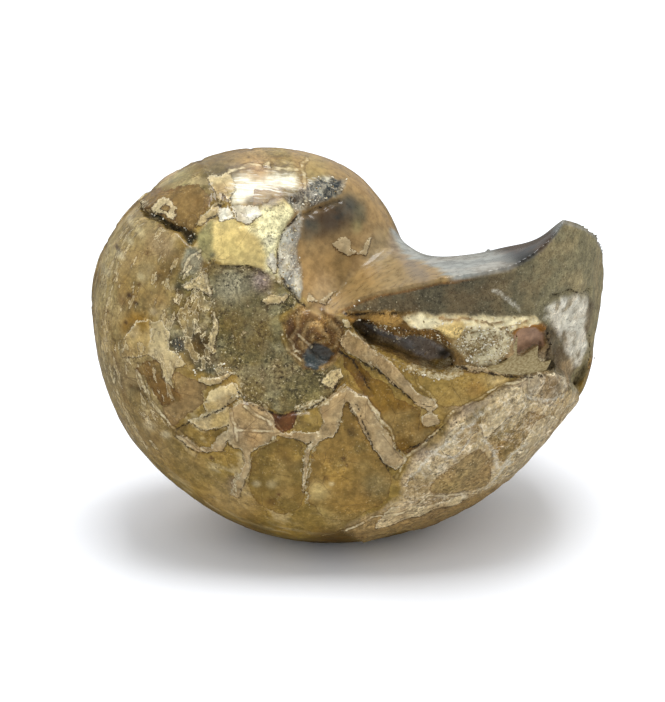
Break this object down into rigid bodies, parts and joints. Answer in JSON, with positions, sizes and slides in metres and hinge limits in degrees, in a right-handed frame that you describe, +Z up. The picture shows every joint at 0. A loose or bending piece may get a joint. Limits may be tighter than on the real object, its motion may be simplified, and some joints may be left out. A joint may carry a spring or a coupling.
{
  "type": "fossil nautilus",
  "caption": "Stone-filled coiled shell broken at a septum: a display stone that rests on its outer edge, one flank showing the umbilicus, peeled shell layers and bare stone mould",
  "frame": {"origin": "centre of the bounding box in x and y, on the table surface", "axes": "+X towards the broken, widest end of the coil; -Y out of the flank that shows the umbilicus; +Z up, as it rests"},
  "size_m": [0.1106, 0.08, 0.0847],
  "materials": {
    "stone": null
  },
  "bodies": {
    "root": {"nautilus": "stone"}
  },
  "joints": []
}
